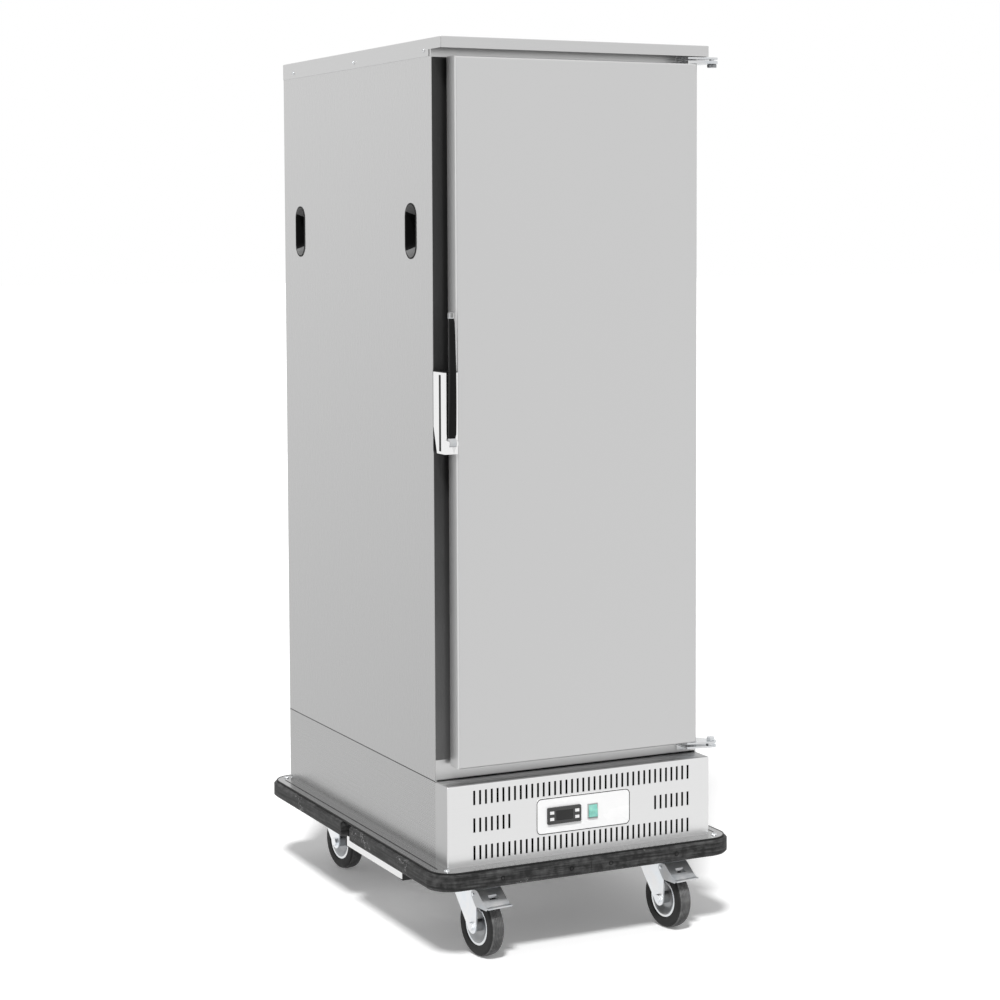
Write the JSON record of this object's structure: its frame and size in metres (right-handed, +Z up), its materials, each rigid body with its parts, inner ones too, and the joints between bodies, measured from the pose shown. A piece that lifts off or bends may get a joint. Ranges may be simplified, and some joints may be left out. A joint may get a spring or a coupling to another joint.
{
  "type": "refrigerated trolley",
  "caption": "Tall insulated refrigerated trolley with a hinged door, side latch, slotted machine base, bumper-edged deck and swivel casters, two with brakes",
  "frame": {"origin": "on the floor under the middle of the bumper's outline", "axes": "+Z up, door faces -Y, +X to the right as seen from the front"},
  "size_m": [0.684, 0.956, 1.828],
  "materials": {
    "stainless": "satin brushed stainless sheet",
    "chassis_paint": "matt black paint",
    "bumper_rubber": "matt",
    "seal_rubber": "matt",
    "zinc": "bright zinc plate",
    "chrome": "polished",
    "foam": "rigid foam, hidden",
    "dark_plastic": "fine grain",
    "grey_plastic": "smooth",
    "white_plate": "gloss film",
    "white_keys": "smooth",
    "green_plastic": "translucent",
    "fins": "bright sheet",
    "dark_paint": "gloss black",
    "copper": "drawn tube",
    "tyre": "matt rubber"
  },
  "bodies": {
    "cabinet": {"chassis_frame": "chassis_paint", "chassis_deck": "stainless", "bumper": "bumper_rubber", "caster_plates": "zinc", "base_panels": "stainless", "side_panels": "stainless", "back_panel": "stainless", "rear_grille": "stainless", "top_cover": "stainless", "insulation": "foam", "inner_liner": "stainless", "breaker_frame": "dark_plastic", "front_frame": "stainless", "grip_cups": "dark_plastic", "fascia": "stainless", "control_plate": "white_plate", "thermostat_case": "dark_plastic", "rocker_bezel": "grey_plastic", "tray_racks": "stainless", "air_duct": "stainless", "evaporator_coil": "fins", "fan_motors": "dark_paint", "compressor": "dark_paint", "condenser_coil": "fins", "refrigerant_lines": "copper", "drain_hose": "seal_rubber", "hinge_brackets": "stainless", "latch_keeper": "chrome", "power_inlet": "dark_plastic"},
    "door": {"door_skin": "stainless", "door_core": "foam", "door_liner": "stainless", "door_gasket": "seal_rubber", "door_hinge_plates": "stainless", "latch_body": "chrome"},
    "lever": {"latch_lever": "chrome", "latch_grip": "dark_plastic"},
    "bolt": {"latch_bolt": "chrome"},
    "rocker": {"power_rocker": "green_plastic"},
    "evaporator_rotor": {"evaporator_fan": "fins"},
    "condenser_rotor": {"condenser_fan": "fins"},
    "tray": {"drip_tray": "stainless"},
    "button_upper_left": {"thermostat_button_upper_left": "white_keys"},
    "button_lower_left": {"thermostat_button_lower_left": "white_keys"},
    "button_upper_right": {"thermostat_button_upper_right": "white_keys"},
    "button_lower_right": {"thermostat_button_lower_right": "white_keys"},
    "swivel_front_left": {"caster_fork_front_left": "zinc"},
    "wheel_front_left": {"caster_rim_front_left": "zinc", "caster_tyre_front_left": "tyre"},
    "swivel_front_right": {"caster_fork_front_right": "zinc"},
    "wheel_front_right": {"caster_rim_front_right": "zinc", "caster_tyre_front_right": "tyre"},
    "swivel_rear_left": {"caster_fork_rear_left": "zinc"},
    "wheel_rear_left": {"caster_rim_rear_left": "zinc", "caster_tyre_rear_left": "tyre"},
    "swivel_rear_right": {"caster_fork_rear_right": "zinc"},
    "wheel_rear_right": {"caster_rim_rear_right": "zinc", "caster_tyre_rear_right": "tyre"},
    "pedal_front_left": {"brake_pedal_front_left": "zinc"},
    "pedal_front_right": {"brake_pedal_front_right": "zinc"}
  },
  "joints": [
    {"name": "door_hinge", "type": "hinge", "parent": "cabinet", "child": "door", "pos_m": [0.308, -0.428, 1.09], "axis": [0, 0, 1], "range_deg": [0, 250]},
    {"name": "latch_lever_pivot", "type": "hinge", "parent": "door", "child": "lever", "pos_m": [-0.28825, -0.4435, 1.038], "axis": [1, 0, 0], "range_deg": [0, 30], "stiffness_Nm_per_rad": 1},
    {"name": "latch_bolt_slide", "type": "slide", "parent": "door", "child": "bolt", "axis": [0, 0, 1], "range_m": [0, 0.012]},
    {"name": "power_rocker_tilt", "type": "hinge", "parent": "cabinet", "child": "rocker", "pos_m": [0.024, -0.4372, 0.2745], "axis": [1, 0, 0], "range_deg": [0, 16]},
    {"name": "evaporator_fan_spin", "type": "hinge", "parent": "cabinet", "child": "evaporator_rotor", "pos_m": [0, 0.3025, 1.5596], "axis": [0, 1, 0], "continuous": true},
    {"name": "condenser_fan_spin", "type": "hinge", "parent": "cabinet", "child": "condenser_rotor", "pos_m": [0, -0.286, 0.268], "axis": [0, 1, 0], "continuous": true},
    {"name": "drip_tray_slide", "type": "slide", "parent": "cabinet", "child": "tray", "axis": [-1, 0, 0], "range_m": [0, 0.28]},
    {"name": "button_press_upper_left", "type": "slide", "parent": "cabinet", "child": "button_upper_left", "axis": [0, 1, 0], "range_m": [0, 0.0008], "stiffness_N_per_m": 600},
    {"name": "button_press_lower_left", "type": "slide", "parent": "cabinet", "child": "button_lower_left", "axis": [0, 1, 0], "range_m": [0, 0.0008], "stiffness_N_per_m": 600},
    {"name": "button_press_upper_right", "type": "slide", "parent": "cabinet", "child": "button_upper_right", "axis": [0, 1, 0], "range_m": [0, 0.0008], "stiffness_N_per_m": 600},
    {"name": "button_press_lower_right", "type": "slide", "parent": "cabinet", "child": "button_lower_right", "axis": [0, 1, 0], "range_m": [0, 0.0008], "stiffness_N_per_m": 600},
    {"name": "swivel_front_left", "type": "hinge", "parent": "cabinet", "child": "swivel_front_left", "pos_m": [-0.215, -0.367, 0.147], "axis": [0, 0, 1], "continuous": true},
    {"name": "wheel_spin_front_left", "type": "hinge", "parent": "swivel_front_left", "child": "wheel_front_left", "pos_m": [-0.21037, -0.40472, 0.0625], "axis": [0.9925, 0.1219, 0], "continuous": true},
    {"name": "swivel_front_right", "type": "hinge", "parent": "cabinet", "child": "swivel_front_right", "pos_m": [0.215, -0.367, 0.147], "axis": [0, 0, 1], "continuous": true},
    {"name": "wheel_spin_front_right", "type": "hinge", "parent": "swivel_front_right", "child": "wheel_front_right", "pos_m": [0.21963, -0.40472, 0.0625], "axis": [0.9925, 0.1219, 0], "continuous": true},
    {"name": "swivel_rear_left", "type": "hinge", "parent": "cabinet", "child": "swivel_rear_left", "pos_m": [-0.215, 0.367, 0.147], "axis": [0, 0, 1], "continuous": true},
    {"name": "wheel_spin_rear_left", "type": "hinge", "parent": "swivel_rear_left", "child": "wheel_rear_left", "pos_m": [-0.21037, 0.32928, 0.0625], "axis": [0.9925, 0.1219, 0], "continuous": true},
    {"name": "swivel_rear_right", "type": "hinge", "parent": "cabinet", "child": "swivel_rear_right", "pos_m": [0.215, 0.367, 0.147], "axis": [0, 0, 1], "continuous": true},
    {"name": "wheel_spin_rear_right", "type": "hinge", "parent": "swivel_rear_right", "child": "wheel_rear_right", "pos_m": [0.21963, 0.32928, 0.0625], "axis": [0.9925, 0.1219, 0], "continuous": true},
    {"name": "brake_front_left", "type": "hinge", "parent": "swivel_front_left", "child": "pedal_front_left", "pos_m": [-0.20891, -0.41663, 0.131], "axis": [0.9925, 0.1219, 0], "range_deg": [0, 12]},
    {"name": "brake_front_right", "type": "hinge", "parent": "swivel_front_right", "child": "pedal_front_right", "pos_m": [0.22109, -0.41663, 0.131], "axis": [0.9925, 0.1219, 0], "range_deg": [0, 12]}
  ],
  "couplings": [
    {"joint": "latch_bolt_slide", "follows": "latch_lever_pivot", "m_per_rad": 0.0229}
  ]
}
